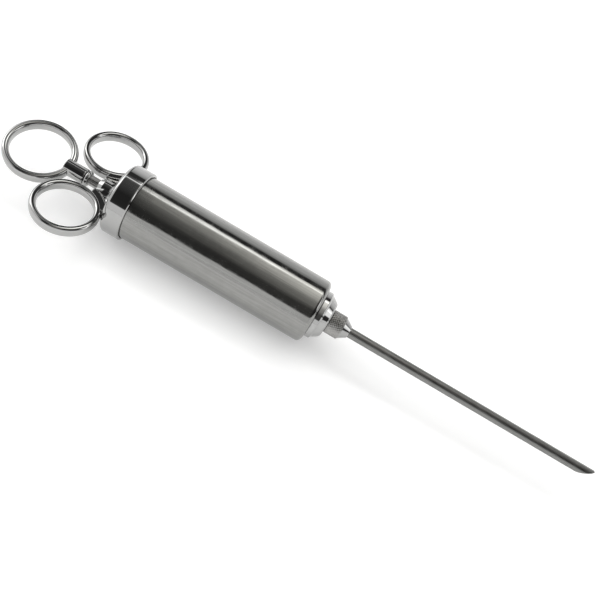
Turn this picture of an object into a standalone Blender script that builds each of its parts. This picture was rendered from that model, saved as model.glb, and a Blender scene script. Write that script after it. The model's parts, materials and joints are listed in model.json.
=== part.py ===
"""Meat injector: a hand syringe for marinade, built as separate pieces.

The injector lies on its side.  X runs along its axis towards the needle's
point, Y runs across the two finger rings, and Z is up.  The origin is under
the middle of the whole injector, on the surface that it lies on.

Sizes are in millimetres.  A station is a distance along the axis, measured
from the open rear end of the barrel, positive towards the needle.
"""

import math

import bmesh
import bpy

MM = 0.001
GAP = 0.3                      # room left between pieces that touch
SEGMENTS = 32                  # sides of a large turned piece
SMALL_SEGMENTS = 20            # sides of a small turned piece

# Barrel
BARREL_RADIUS = 17.5
BARREL_WALL = 1.5
BARREL_LENGTH = 113.45
BARREL_CORNER = (2.7, 4.0)     # the spun front corner, along and across
BARREL_FRONT_WALL = 1.5
BARREL_HOLE = 8.3
BORE = BARREL_RADIUS - BARREL_WALL

# Screw thread between barrel and cap
CAP_PITCH = 2.5
CAP_THREAD = (0.5, 6.9)        # first and last station
CAP_THREAD_MEAN = 17.1
CAP_THREAD_DEPTH = 0.35        # half the height from root to crest
CAP_CLEARANCE = 0.4

# Cap
CAP_RADIUS = 19.2
CAP_FRONT = 7.6
CAP_INSIDE = -1.3
CAP_BACK = -3.8
CAP_SHOULDER = 3.5
CAP_RIM_CHAMFER = 0.5
CAP_HOLE = 5.5

# Rod guide, the boss in the middle of the cap
GUIDE_REAR = -15.1
GUIDE_RADIUS = 4.7
GUIDE_NOSE = (2.6, 1.3)        # along and across
GUIDE_FLARE = (4.2, 3.6)
GUIDE_SHANK = CAP_HOLE - GAP
GUIDE_FRONT = -1.0
GUIDE_BORE = 3.1
WIPER_STATION = -2.6
WIPER_SECTION = 0.6

# Rings for the fingers and the thumb
FINGER_CENTRE = (-19.45, 24.1)
FINGER_INSIDE = 13.6
FINGER_OUTSIDE = 17.2
THUMB_CENTRE = -49.55
THUMB_INSIDE = 15.05
THUMB_OUTSIDE = 18.8
RING_WIDTH = 5.7
RING_SQUARENESS = 3.2          # exponent of the rounded section
RING_SEGMENTS = 36
RING_SECTION_POINTS = 10
WEB_THICKNESS = 2.4
THUMB_TURN = math.radians(10)  # the plunger's turn when at rest

# Plunger
ROD_RADIUS = 2.8
ROD_REAR = -30.2
STEM_RADIUS = 4.25
STEM_FRONT = -23.0
COLLAR = (-22.7, -20.3)
COLLAR_LIP = 0.9
PISTON = (89.6, 103.6)
PISTON_RADIUS = 15.4
PISTON_RECESS = (7.0, 4.6)     # radius and depth of the pocket for the nut
SEAL_SECTION = 1.5
SEAL_RADIUS = BORE - GAP - SEAL_SECTION
SEAL_STATIONS = (93.3, 99.9)
ROD_TIP_RADIUS = 2.5
ROD_FLANGE = (5.5, 2.4)        # radius and thickness

# Nozzle and its nut
NOZZLE_DISC = (13.2, 2.3)      # radius at the front edge, and length
NOZZLE_STEP = (12.1, 0.9)
NOZZLE_CONE = (10.1, 2.95)
NOZZLE_FACE = (9.4, 0.75)
NOZZLE_RECESS = (6.8, 0.5)     # the pocket that the needle's hub sits over
NOZZLE_SHANK = 8.0
NOZZLE_REAR = 107.35
NOZZLE_BORE = 1.9
NUT_THICKNESS = 3.0
NUT_ACROSS_FLATS = 24.0
GASKET_THICKNESS = 0.8

# Screw thread between nozzle and needle
NEEDLE_PITCH = 2.0
SPIGOT_LENGTH = 6.0
SPIGOT_MEAN = 3.7
SPIGOT_DEPTH = 0.3
SPIGOT_CLEARANCE = 0.35

# Needle
HUB_RADIUS = 6.5
HUB_KNURL = 7.9
HUB_SHOULDER = 6.0
HUB_CONE = 4.2
HUB_NECK = 3.2
TUBE_RADIUS = 2.7
TUBE_BORE = 2.0
NEEDLE_TIP = 279.1
BEVEL_LENGTH = 9.5
BEVEL_TURN = math.radians(-23)  # from the point being on top

AXIS_HEIGHT = CAP_RADIUS * math.cos(math.pi / SEGMENTS)
MIDDLE = (NEEDLE_TIP + THUMB_CENTRE - THUMB_OUTSIDE) / 2
NOZZLE_SEAT = BARREL_LENGTH + GAP
NOZZLE_TOP = NOZZLE_SEAT + NOZZLE_DISC[1] + NOZZLE_STEP[1] + NOZZLE_CONE[1] + NOZZLE_FACE[1]
HUB_REAR = NOZZLE_TOP + 0.2
SPIGOT_TIP = NOZZLE_TOP + SPIGOT_LENGTH
WASHER = (SPIGOT_TIP + GAP, SPIGOT_TIP + GAP + 0.8)
HUB_FLOOR = WASHER[1] + GAP

FINISHES = {
    "satin_steel": ((0.60, 0.60, 0.58), 0.30, 1.0),
    "chrome": ((0.80, 0.80, 0.81), 0.08, 1.0),
    "rod_steel": ((0.66, 0.66, 0.65), 0.20, 1.0),
    "needle_steel": ((0.55, 0.55, 0.54), 0.28, 1.0),
    "aluminium": ((0.75, 0.75, 0.76), 0.35, 1.0),
    "brass": ((0.78, 0.62, 0.30), 0.30, 1.0),
    "silicone": ((0.70, 0.12, 0.08), 0.60, 0.0),
    "black_rubber": ((0.03, 0.03, 0.03), 0.70, 0.0),
}


def clear_scene():
    """Take every object out of the scene."""
    for item in list(bpy.data.objects):
        bpy.data.objects.remove(item, do_unlink=True)


def finish(name):
    """The material of a finish, made the first time it is asked for."""
    material = bpy.data.materials.get(name)
    if material is None:
        colour, roughness, metallic = FINISHES[name]
        material = bpy.data.materials.new(name)
        material.use_nodes = True
        shader = material.node_tree.nodes["Principled BSDF"]
        shader.inputs["Base Color"].default_value = (*colour, 1.0)
        shader.inputs["Roughness"].default_value = roughness
        shader.inputs["Metallic"].default_value = metallic
        material.diffuse_color = (*colour, 1.0)
    return material


def make_axis(name, parent=None, location=(0.0, 0.0, 0.0), turn=0.0):
    """An empty whose X axis is the axis that its pieces turn and slide on."""
    axis = bpy.data.objects.new(name, None)
    axis.parent = parent
    axis.location = [value * MM for value in location]
    axis.rotation_euler = (turn, 0.0, 0.0)
    bpy.context.collection.objects.link(axis)
    return axis


def make_object(name, shape, parent, finish_name):
    """Turn a bmesh in millimetres into a smooth-shaded object on an axis."""
    bmesh.ops.recalc_face_normals(shape, faces=shape.faces)
    bmesh.ops.scale(shape, vec=(MM, MM, MM), verts=shape.verts)
    mesh = bpy.data.meshes.new(name)
    shape.to_mesh(mesh)
    shape.free()
    mesh.materials.append(finish(finish_name))
    mesh.shade_smooth()
    mesh.set_sharp_from_angle(angle=math.radians(32))
    piece = bpy.data.objects.new(name, mesh)
    piece.parent = parent
    bpy.context.collection.objects.link(piece)
    return piece


def hide(piece):
    """Mark an object as a tool that only shapes other objects."""
    piece.hide_render = True
    piece.display_type = "WIRE"
    return piece


def combine(piece, tool, operation):
    """Add or cut away a tool's shape."""
    step = piece.modifiers.new(tool.name, "BOOLEAN")
    step.operation = operation
    step.object = tool
    step.solver = "EXACT"


def skin_rows(shape, rows, closed):
    """Join rows of vertices into a surface; a row of one vertex is a pole."""
    pairs = list(zip(rows, rows[1:]))
    if closed:
        pairs.append((rows[-1], rows[0]))
    for first, second in pairs:
        count = max(len(first), len(second))
        for i in range(count):
            j = (i + 1) % count
            corners = [first[i % len(first)], first[j % len(first)]]
            corners += [second[j % len(second)], second[i % len(second)]]
            unique = list(dict.fromkeys(corners))
            shape.faces.new(unique)


def turned(name, outline, parent, finish_name, segments=SEGMENTS, pitch=None):
    """Spin an outline of (station, radius[, thread depth]) about the axis.

    An outline that starts and ends on the axis makes a solid piece, and any
    other outline is a closed loop that makes a ring or a tube.  Where a
    thread depth is given, the radius follows a right-hand helix.
    """
    shape = bmesh.new()
    rows = []
    for station, radius, *depth in outline:
        count = 1 if radius == 0 else segments
        row = []
        for i in range(count):
            angle = 2 * math.pi * (i + 0.5) / segments
            reach = radius
            if depth:
                reach += depth[0] * math.cos(2 * math.pi * station / pitch - angle)
            place = (station, reach * math.cos(angle), reach * math.sin(angle))
            row.append(shape.verts.new(place))
        rows.append(row)
    skin_rows(shape, rows, closed=outline[0][1] > 0)
    return make_object(name, shape, parent, finish_name)


def corner(centre, radii, start, end, steps):
    """Points of a rounded corner, as an arc of an ellipse in (station, radius)."""
    points = []
    for i in range(steps + 1):
        angle = math.radians(start + (end - start) * i / steps)
        station = centre[0] + radii[0] * math.cos(angle)
        points.append((station, centre[1] + radii[1] * math.sin(angle)))
    return points


def thread_rows(limits, pitch, mean, depth, end_radii, per_turn=5):
    """Outline points through a thread that fades out at both of its ends."""
    start, end = limits
    count = round((end - start) / pitch * per_turn)
    fade = pitch / 2
    points = []
    for i in range(count + 1):
        station = start + (end - start) * i / count
        strength = min(1.0, (station - start) / fade, (end - station) / fade)
        edge = end_radii[0] if station < (start + end) / 2 else end_radii[1]
        radius = mean * strength + edge * (1 - strength)
        points.append((station, radius, depth * strength))
    return points


def o_ring(name, station, radius, section, parent, finish_name, segments=SEGMENTS):
    """A rubber ring of round section."""
    outline = corner((station, radius), (section, section), 0, 300, 5)
    return turned(name, outline, parent, finish_name, segments)


def hexagon_nut(name, limits, across_flats, hole, parent, finish_name):
    """A six-sided nut on the axis, with a round hole through it."""
    shape = bmesh.new()
    sides = 24
    rows = []
    for station, inner in ((limits[0], True), (limits[0], False), (limits[1], False), (limits[1], True)):
        row = []
        for i in range(sides):
            angle = 2 * math.pi * i / sides
            from_flat = (angle + math.pi / 6) % (math.pi / 3) - math.pi / 6
            reach = hole if inner else across_flats / 2 / math.cos(from_flat)
            place = (station, reach * math.cos(angle), reach * math.sin(angle))
            row.append(shape.verts.new(place))
        rows.append(row)
    skin_rows(shape, rows, closed=True)
    return make_object(name, shape, parent, finish_name)


def band_ring(name, centre, inside, outside, width, parent, finish_name):
    """A ring in the XY plane, with a section like a rectangle with round corners."""
    shape = bmesh.new()
    half_wall = (outside - inside) / 2
    power = 2 / RING_SQUARENESS
    rows = []
    for i in range(RING_SEGMENTS):
        around = 2 * math.pi * i / RING_SEGMENTS
        row = []
        for j in range(RING_SECTION_POINTS):
            angle = 2 * math.pi * (j + 0.5) / RING_SECTION_POINTS
            across = math.copysign(abs(math.cos(angle)) ** power, math.cos(angle))
            height = math.copysign(abs(math.sin(angle)) ** power, math.sin(angle))
            reach = inside + half_wall * (1 + across)
            place_x = centre[0] + reach * math.cos(around)
            place_y = centre[1] + reach * math.sin(around)
            row.append(shape.verts.new((place_x, place_y, height * width / 2)))
        rows.append(row)
    skin_rows(shape, rows, closed=True)
    return make_object(name, shape, parent, finish_name)


def plate(name, outline, thickness, parent, finish_name):
    """A flat plate in the XY plane with slightly rounded edges."""
    shape = bmesh.new()
    bottom = [shape.verts.new((x, y, -thickness / 2)) for x, y in outline]
    top = [shape.verts.new((x, y, thickness / 2)) for x, y in outline]
    shape.faces.new(bottom)
    shape.faces.new(top)
    skin_rows(shape, [bottom, top], closed=False)
    return make_object(name, shape, parent, finish_name)


def make_barrel(axis):
    """The tube, threaded outside at the rear and spun inwards at the front."""
    reach, drop = BARREL_CORNER
    turn_in = BARREL_LENGTH - reach
    root = CAP_THREAD_MEAN - CAP_THREAD_DEPTH
    ends = (root, BARREL_RADIUS)
    outline = [(0.0, BORE), (0.0, root)]
    outline += thread_rows(CAP_THREAD, CAP_PITCH, CAP_THREAD_MEAN, CAP_THREAD_DEPTH, ends)
    outline += corner((turn_in, BARREL_RADIUS - drop), (reach, drop), 90, 0, 4)
    outline += [(BARREL_LENGTH, BARREL_HOLE), (BARREL_LENGTH - BARREL_FRONT_WALL, BARREL_HOLE)]
    inside = (reach - BARREL_FRONT_WALL, drop - BARREL_WALL)
    outline += corner((turn_in, BORE - inside[1]), inside, 0, 90, 2)
    turned("barrel_tube", outline, axis, "satin_steel", pitch=CAP_PITCH)


def make_nozzle(axis):
    """The stepped front end, with its shank in the barrel and its threaded spigot."""
    station = NOZZLE_SEAT
    outline = [(station, NOZZLE_SHANK), (station, NOZZLE_DISC[0])]
    station += NOZZLE_DISC[1]
    outline.append((station, NOZZLE_DISC[0]))
    for radius, length in (NOZZLE_STEP, NOZZLE_CONE):
        station += length
        outline.append((station, radius))
    pocket, depth = NOZZLE_RECESS
    outline += [(NOZZLE_TOP, NOZZLE_FACE[0]), (NOZZLE_TOP, pocket), (NOZZLE_TOP - depth, pocket)]
    root = SPIGOT_MEAN - SPIGOT_DEPTH
    limits = (NOZZLE_TOP - depth, SPIGOT_TIP - GAP)
    outline += thread_rows(limits, NEEDLE_PITCH, SPIGOT_MEAN, SPIGOT_DEPTH, (root, root))
    outline += [(SPIGOT_TIP, root - GAP), (SPIGOT_TIP, NOZZLE_BORE)]
    outline += [(NOZZLE_REAR, NOZZLE_BORE), (NOZZLE_REAR, NOZZLE_SHANK)]
    turned("nozzle", outline, axis, "chrome", pitch=NEEDLE_PITCH)


def make_nozzle_fixings(axis):
    """The gasket and the nut that hold the nozzle from inside the barrel."""
    front = BARREL_LENGTH - BARREL_FRONT_WALL - GAP
    rear = front - GASKET_THICKNESS
    inner = NOZZLE_SHANK + GAP
    outline = [(rear, inner), (rear, NUT_ACROSS_FLATS / 2), (front, NUT_ACROSS_FLATS / 2), (front, inner)]
    turned("nozzle_gasket", outline, axis, "silicone")
    nut_front = rear - GAP
    hexagon_nut("nozzle_nut", (nut_front - NUT_THICKNESS, nut_front), NUT_ACROSS_FLATS, inner, axis, "brass")


def cap_outside(grow):
    """The cap's outer outline from front to back, larger all round by a gap."""
    shoulder = (CAP_SHOULDER - 1.0, CAP_SHOULDER)
    radius = CAP_RADIUS + grow
    centre = (CAP_BACK - grow + shoulder[0], radius - shoulder[1])
    outline = [(CAP_FRONT + grow, radius - CAP_RIM_CHAMFER), (CAP_FRONT - CAP_RIM_CHAMFER, radius)]
    return outline + corner(centre, shoulder, 90, 180, 5)


def make_cap(axis):
    """The screw cap: a threaded skirt and an end wall with a hole for the guide."""
    relief = CAP_THREAD_MEAN + CAP_THREAD_DEPTH + CAP_CLEARANCE + 0.05
    mean = CAP_THREAD_MEAN + CAP_CLEARANCE
    outline = cap_outside(0.0)
    outline += [(CAP_BACK, CAP_HOLE), (CAP_INSIDE, CAP_HOLE), (CAP_INSIDE, relief)]
    outline += thread_rows(CAP_THREAD, CAP_PITCH, mean, CAP_THREAD_DEPTH, (relief, relief))
    outline.append((CAP_FRONT, relief))
    turned("cap", outline, axis, "chrome", pitch=CAP_PITCH)


def make_cap_gasket(axis):
    """The flat ring between the barrel's end and the cap."""
    rear = CAP_INSIDE + GAP
    outline = [(rear, BORE), (rear, BARREL_RADIUS), (-GAP, BARREL_RADIUS), (-GAP, BORE)]
    turned("cap_gasket", outline, axis, "silicone")


def guide_outside(grow):
    """The outer outline of the rod guide behind the cap, flaring to the cap."""
    reach, rise = GUIDE_FLARE
    length, drop = GUIDE_NOSE
    neck = (CAP_BACK - GAP - reach, GUIDE_RADIUS + rise + grow)
    outline = [(GUIDE_REAR - grow, GUIDE_RADIUS - drop + grow), (GUIDE_REAR + length, GUIDE_RADIUS + grow)]
    return outline + corner(neck, GUIDE_FLARE, 270, 360, 4)


def make_guide(axis):
    """The bush that the rod runs in, with a groove for its wiper ring."""
    groove = GUIDE_BORE + 2 * WIPER_SECTION + GAP
    half = WIPER_SECTION + GAP
    outline = [(GUIDE_REAR, GUIDE_BORE)] + guide_outside(0.0)
    outline += [(CAP_BACK - GAP, GUIDE_SHANK), (GUIDE_FRONT, GUIDE_SHANK), (GUIDE_FRONT, GUIDE_BORE)]
    outline += [(WIPER_STATION + half, GUIDE_BORE), (WIPER_STATION + half, groove)]
    outline += [(WIPER_STATION - half, groove), (WIPER_STATION - half, GUIDE_BORE)]
    turned("rod_guide", outline, axis, "chrome", SMALL_SEGMENTS)


def make_wiper(axis):
    """The small ring in the guide that keeps the rod wiped and centred."""
    radius = GUIDE_BORE + WIPER_SECTION
    o_ring("rod_wiper", WIPER_STATION, radius, WIPER_SECTION, axis, "black_rubber", SMALL_SEGMENTS)


def web_outline(side):
    """The web that fills the corner between a finger ring, the guide and the cap."""
    middle = (FINGER_INSIDE + FINGER_OUTSIDE) / 2 + 0.6
    start = math.degrees(math.asin((GUIDE_REAR - FINGER_CENTRE[0]) / middle)) - 90
    points = [(CAP_BACK, GUIDE_RADIUS - 1.0), (GUIDE_REAR, GUIDE_RADIUS - 1.0)]
    points += corner(FINGER_CENTRE, (middle, middle), start, -20, 6)
    points.append((CAP_BACK + 1.0, CAP_RADIUS - 0.9))
    return [(x, side * y) for x, y in points]


def make_finger_rings(axis):
    """The two finger rings, each with its web, saddled onto the cap and guide."""
    cap_end = [(CAP_FRONT, 0.0)] + cap_outside(GAP)
    cap_end.append((cap_end[-1][0], 0.0))
    cap_tool = hide(turned("cap_saddle", cap_end, axis, "chrome"))
    guide_end = [(GUIDE_REAR - GAP, 0.0)] + guide_outside(GAP)
    guide_end.append((CAP_BACK + 1.0, guide_end[-1][1]))
    guide_end.append((CAP_BACK + 1.0, 0.0))
    guide_tool = hide(turned("guide_saddle", guide_end, axis, "chrome", SMALL_SEGMENTS))
    for name, side in (("left", 1), ("right", -1)):
        centre = (FINGER_CENTRE[0], side * FINGER_CENTRE[1])
        ring = band_ring("finger_ring_" + name, centre, FINGER_INSIDE, FINGER_OUTSIDE, RING_WIDTH, axis, "chrome")
        web = hide(plate("web_" + name, web_outline(side), WEB_THICKNESS, axis, "chrome"))
        combine(ring, web, "UNION")
        combine(ring, cap_tool, "DIFFERENCE")
        combine(ring, guide_tool, "DIFFERENCE")


def make_handle(axis):
    """The thumb ring, and the stem and collar that join it to the rod."""
    centre = (THUMB_CENTRE, 0.0)
    band_ring("thumb_ring", centre, THUMB_INSIDE, THUMB_OUTSIDE, RING_WIDTH, axis, "chrome")
    inside = THUMB_INSIDE - GAP
    outside = THUMB_OUTSIDE + GAP
    tool = hide(band_ring("ring_saddle", centre, inside, outside, RING_WIDTH + 2 * GAP, axis, "chrome"))
    rear = THUMB_CENTRE + THUMB_INSIDE
    bore = ROD_RADIUS + GAP
    outline = [(rear, 0.0), (rear, STEM_RADIUS - 0.4), (rear + 0.4, STEM_RADIUS)]
    outline += [(STEM_FRONT - 0.4, STEM_RADIUS), (STEM_FRONT, STEM_RADIUS - 0.4)]
    outline += [(STEM_FRONT, bore), (ROD_REAR - GAP, bore), (ROD_REAR - GAP, 0.0)]
    stem = turned("handle_stem", outline, axis, "chrome", SMALL_SEGMENTS)
    combine(stem, tool, "DIFFERENCE")
    middle = sum(COLLAR) / 2
    half = (COLLAR[1] - COLLAR[0]) / 2
    lip = corner((middle, STEM_RADIUS - COLLAR_LIP), (half, COLLAR_LIP), 180, 0, 6)
    turned("stem_collar", [(COLLAR[0], bore)] + lip + [(COLLAR[1], bore)], axis, "chrome", SMALL_SEGMENTS)


def make_rod(axis):
    """The plunger rod, with a flange behind the piston and a thinner tip in it."""
    flange_radius, flange_length = ROD_FLANGE
    flange_front = PISTON[0] - GAP
    flange_rear = flange_front - flange_length
    tip = PISTON[1] - GAP
    outline = [(ROD_REAR, 0.0), (ROD_REAR, ROD_RADIUS), (flange_rear, ROD_RADIUS)]
    outline += [(flange_rear, flange_radius), (flange_front, flange_radius)]
    outline += [(flange_front, ROD_TIP_RADIUS), (tip - 0.5, ROD_TIP_RADIUS)]
    outline += [(tip, ROD_TIP_RADIUS - 0.5), (tip, 0.0)]
    turned("plunger_rod", outline, axis, "rod_steel", SMALL_SEGMENTS)


def make_piston(axis):
    """The piston with its two rubber rings, clamped on the rod by a nut."""
    groove = SEAL_RADIUS - SEAL_SECTION - GAP
    half = SEAL_SECTION + GAP
    recess, depth = PISTON_RECESS
    floor = PISTON[1] - depth
    hole = ROD_TIP_RADIUS + GAP
    outline = [(PISTON[0], hole), (PISTON[0], PISTON_RADIUS - 0.5), (PISTON[0] + 0.5, PISTON_RADIUS)]
    for station in SEAL_STATIONS:
        outline += [(station - half, PISTON_RADIUS), (station - half, groove)]
        outline += [(station + half, groove), (station + half, PISTON_RADIUS)]
    outline += [(PISTON[1] - 0.5, PISTON_RADIUS), (PISTON[1], PISTON_RADIUS - 0.5), (PISTON[1], recess)]
    outline += [(floor, recess), (floor, hole)]
    turned("piston", outline, axis, "aluminium")
    for name, station in zip(("rear", "front"), SEAL_STATIONS):
        o_ring("piston_seal_" + name, station, SEAL_RADIUS, SEAL_SECTION, axis, "silicone")
    washer_rear = floor + GAP
    washer_front = washer_rear + 0.8
    washer = [(washer_rear, hole), (washer_rear, 6.0), (washer_front, 6.0), (washer_front, hole)]
    turned("piston_washer", washer, axis, "rod_steel", SMALL_SEGMENTS)
    nut_rear = washer_front + GAP
    hexagon_nut("piston_nut", (nut_rear, nut_rear + 2.8), 9.0, hole, axis, "rod_steel")


def make_needle(axis):
    """The hub that screws on the nozzle, and the bevelled needle tube in it."""
    mean = SPIGOT_MEAN + SPIGOT_CLEARANCE
    relief = mean + SPIGOT_DEPTH + 0.05
    knurl_end = HUB_REAR + HUB_KNURL
    neck = knurl_end + HUB_CONE
    limits = (NOZZLE_TOP + 1.0, SPIGOT_TIP - 0.5)
    outline = [(HUB_REAR, relief), (HUB_REAR, HUB_RADIUS - 0.4), (HUB_REAR + 0.4, HUB_RADIUS)]
    outline += [(knurl_end - 0.6, HUB_RADIUS), (knurl_end, HUB_SHOULDER), (neck, HUB_NECK)]
    outline += [(neck, TUBE_RADIUS + GAP), (HUB_FLOOR, TUBE_RADIUS + GAP), (HUB_FLOOR, relief)]
    outline += thread_rows(limits, NEEDLE_PITCH, mean, SPIGOT_DEPTH, (relief, relief))[::-1]
    turned("needle_hub", outline, axis, "needle_steel", SMALL_SEGMENTS, pitch=NEEDLE_PITCH)
    make_tube(axis)


def make_tube(axis):
    """The needle tube, cut off at a slant and turned so that its point leans over."""
    shape = bmesh.new()
    rear = HUB_FLOOR + GAP
    rows = []
    for radius, bevelled in ((TUBE_BORE, False), (TUBE_RADIUS, False), (TUBE_RADIUS, True), (TUBE_BORE, True)):
        row = []
        for i in range(SMALL_SEGMENTS):
            angle = 2 * math.pi * (i + 0.5) / SMALL_SEGMENTS
            y = radius * math.cos(angle)
            z = radius * math.sin(angle)
            slant = BEVEL_LENGTH * (TUBE_RADIUS - z) / (2 * TUBE_RADIUS)
            station = NEEDLE_TIP - slant if bevelled else rear
            row.append(shape.verts.new((station, y, z)))
        rows.append(row)
    skin_rows(shape, rows, closed=True)
    tube = make_object("needle_tube", shape, axis, "needle_steel")
    tube.rotation_euler.x = BEVEL_TURN


def make_needle_washer(axis):
    """The soft washer that seals the needle's hub on the nozzle's tip."""
    outer = SPIGOT_MEAN + SPIGOT_DEPTH
    outline = [(WASHER[0], NOZZLE_BORE), (WASHER[0], outer), (WASHER[1], outer), (WASHER[1], NOZZLE_BORE)]
    turned("needle_washer", outline, axis, "black_rubber", SMALL_SEGMENTS)


def main():
    clear_scene()
    barrel_axis = make_axis("barrel_axis", None, (-MIDDLE, 0.0, AXIS_HEIGHT))
    cap_axis = make_axis("cap_axis", barrel_axis)
    plunger_axis = make_axis("plunger_axis", cap_axis, turn=THUMB_TURN)
    needle_axis = make_axis("needle_axis", barrel_axis)
    make_barrel(barrel_axis)
    make_nozzle(barrel_axis)
    make_nozzle_fixings(barrel_axis)
    make_cap_gasket(cap_axis)
    make_cap(cap_axis)
    make_guide(cap_axis)
    make_finger_rings(cap_axis)
    make_wiper(plunger_axis)
    make_handle(plunger_axis)
    make_rod(plunger_axis)
    make_piston(plunger_axis)
    make_needle_washer(needle_axis)
    make_needle(needle_axis)


main()
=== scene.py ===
import json
import math

import bmesh
import bpy
from mathutils import Matrix, Vector


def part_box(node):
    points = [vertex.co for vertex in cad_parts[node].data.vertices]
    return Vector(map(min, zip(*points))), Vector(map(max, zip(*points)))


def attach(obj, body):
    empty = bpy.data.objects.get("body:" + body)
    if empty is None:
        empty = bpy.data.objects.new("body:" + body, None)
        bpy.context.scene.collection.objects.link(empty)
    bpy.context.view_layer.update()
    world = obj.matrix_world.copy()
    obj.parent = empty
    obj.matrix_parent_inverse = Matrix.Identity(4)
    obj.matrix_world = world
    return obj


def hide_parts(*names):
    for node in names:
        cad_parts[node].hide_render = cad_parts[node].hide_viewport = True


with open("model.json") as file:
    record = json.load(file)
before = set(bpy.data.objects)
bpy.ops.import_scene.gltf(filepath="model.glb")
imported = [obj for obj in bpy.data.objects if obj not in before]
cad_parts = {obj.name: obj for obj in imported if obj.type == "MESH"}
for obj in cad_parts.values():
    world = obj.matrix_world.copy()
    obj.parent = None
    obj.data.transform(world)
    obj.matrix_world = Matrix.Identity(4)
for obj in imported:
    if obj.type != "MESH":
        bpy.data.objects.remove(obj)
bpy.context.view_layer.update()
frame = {"record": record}

MM = 0.001
TURNS = 192                        # sides of a large turned piece
SMALL_TURNS = 96                   # sides of a small turned piece
CAD_SIDES = 32                     # sides of the large turned CAD nodes
CAD_SMALL_SIDES = 20               # sides of the needle hub's CAD node
CREASE = math.radians(38)          # edges sharper than this stay crisp
FLOOR_DROP = 0.2 * MM              # how far the floor lies under the injector
THUMB_TURN = math.radians(10)      # the thumb ring against the finger rings' plane
BEVEL_TURN = math.radians(-23)     # the needle's slant about its own axis

AXIS_HEIGHT = (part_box("barrel_tube")[0][2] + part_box("barrel_tube")[1][2]) / 2

# Radii and walls that a node's box can't tell
BARREL_WALL = 1.5 * MM
BARREL_HOLE = 8.3 * MM             # the hole in the barrel's front, for the nozzle's shank
FLUID_BORE = 1.9 * MM
ROD_BORE = 3.1 * MM
STEM_RADIUS = 4.25 * MM
NEEDLE_RADIUS = 2.7 * MM

# The cap's thread on the barrel, then the hub's thread on the nozzle's spigot
THREAD_MEAN = 17.1 * MM
THREAD_DEPTH = 0.35 * MM
THREAD_SPAN = (0.5 * MM, 6.9 * MM)
THREAD_CLEARANCE = 0.4 * MM
SPIGOT_MEAN = 3.7 * MM
SPIGOT_DEPTH = 0.3 * MM
SPIGOT_CLEARANCE = 0.35 * MM

# Finger rings and their webs
RING_OUTSIDE = 17.2 * MM
RING_WALL = 3.6 * MM
RING_SQUARENESS = 2.6              # 2 gives an oval section, and more gives a squarer one
WEB_HALF = 1.7 * MM                # half the web's thickness in its middle
SHELF_WIDTH = 1.8 * MM             # the web's flat shelf along the ring
SHELF_HALF = 2.75 * MM
SHELF_EDGE = 1.1 * MM
BOSS_SIDE = 4.2 * MM                   # how far from the axis the boss's fillet starts
BOSS_FILLET = (2.4 * MM, 1.6 * MM)     # how far the web's fillets reach, and how high they rise
CAP_FILLET = (5.0 * MM, 1.7 * MM)
LUG = (17.6 * MM, 1.4 * MM)            # where the web's outer end lies, and how far it fades
INTO_CAP = (0.3 * MM, 0.9 * MM)        # how deep the web runs into the cap, and how much deeper outside


# ---------------------------------------------------------------- measuring

def ends(node):
    """First and last station of a node along the injector's axis."""
    low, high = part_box(node)
    return low[0], high[0]


def radius_of(node, sides=CAD_SIDES):
    """Outer radius of a turned node, from the width of its faceted solid."""
    low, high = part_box(node)
    return (high[1] - low[1]) / 2 / math.cos(math.pi / sides)


def pitch_of(joint):
    """Thread pitch of a screw joint, from the ratio of its coupling."""
    for coupling in frame["record"]["behaviour"]["couplings"]:
        if coupling["joint"] == joint:
            return coupling["ratio"] * 2 * math.pi
    raise KeyError(joint)


# ---------------------------------------------------------------- mesh tools

def add_piece(name, shape, body, nodes, material):
    """Make a bmesh a smooth-shaded piece that rides on a body for some nodes."""
    bmesh.ops.recalc_face_normals(shape, faces=shape.faces)
    mesh = bpy.data.meshes.new(name)
    shape.to_mesh(mesh)
    shape.free()
    mesh.materials.append(material)
    mesh.shade_smooth()
    mesh.set_sharp_from_angle(angle=CREASE)
    piece = bpy.data.objects.new(name, mesh)
    bpy.context.scene.collection.objects.link(piece)
    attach(piece, body)
    if nodes:
        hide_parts(*nodes)
    return piece


def skin_rows(shape, rows, closed):
    """Join rows of vertices into a surface; a row of one vertex is a pole."""
    pairs = list(zip(rows, rows[1:]))
    if closed:
        pairs.append((rows[-1], rows[0]))
    for first, second in pairs:
        count = max(len(first), len(second))
        for i in range(count):
            j = (i + 1) % count
            corners = [first[i % len(first)], first[j % len(first)]]
            corners += [second[j % len(second)], second[i % len(second)]]
            shape.faces.new(list(dict.fromkeys(corners)))


def rounded(outline, steps=5):
    """Round the corners of an outline of (station, radius[, fillet]) points."""
    points = []
    count = len(outline)
    for i, (x, r, *fillet) in enumerate(outline):
        if not fillet or i == 0 or i == count - 1:
            points.append((x, r))
            continue
        here = Vector((x, r))
        back = (Vector(outline[i - 1][:2]) - here).normalized()
        ahead = (Vector(outline[(i + 1) % count][:2]) - here).normalized()
        half = back.angle(ahead) / 2
        centre = here + (back + ahead).normalized() * fillet[0] / math.sin(half)
        start = here + back * fillet[0] / math.tan(half) - centre
        sweep = start.angle_signed(here + ahead * fillet[0] / math.tan(half) - centre)
        for k in range(steps + 1):
            arm = start.copy()
            arm.rotate(Matrix.Rotation(-sweep * k / steps, 2))
            points.append(tuple(centre + arm))
    return points


def supported(outline):
    """Add points near the ends of long straight runs, so that they shade as straight."""
    points = [outline[0]]
    for first, second in zip(outline, outline[1:]):
        length = math.dist(first[:2], second[:2])
        if length > 1.0 * MM and len(first) == len(second) == 2:
            for share in (0.15 * MM / length, 1 - 0.15 * MM / length):
                points.append(tuple(a + (b - a) * share for a, b in zip(first, second)))
        points.append(second)
    return points


def on_turn(station, reach, angle):
    """The place at a reach from the injector's axis, at an angle round it."""
    return (station, reach * math.cos(angle), AXIS_HEIGHT + reach * math.sin(angle))


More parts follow.
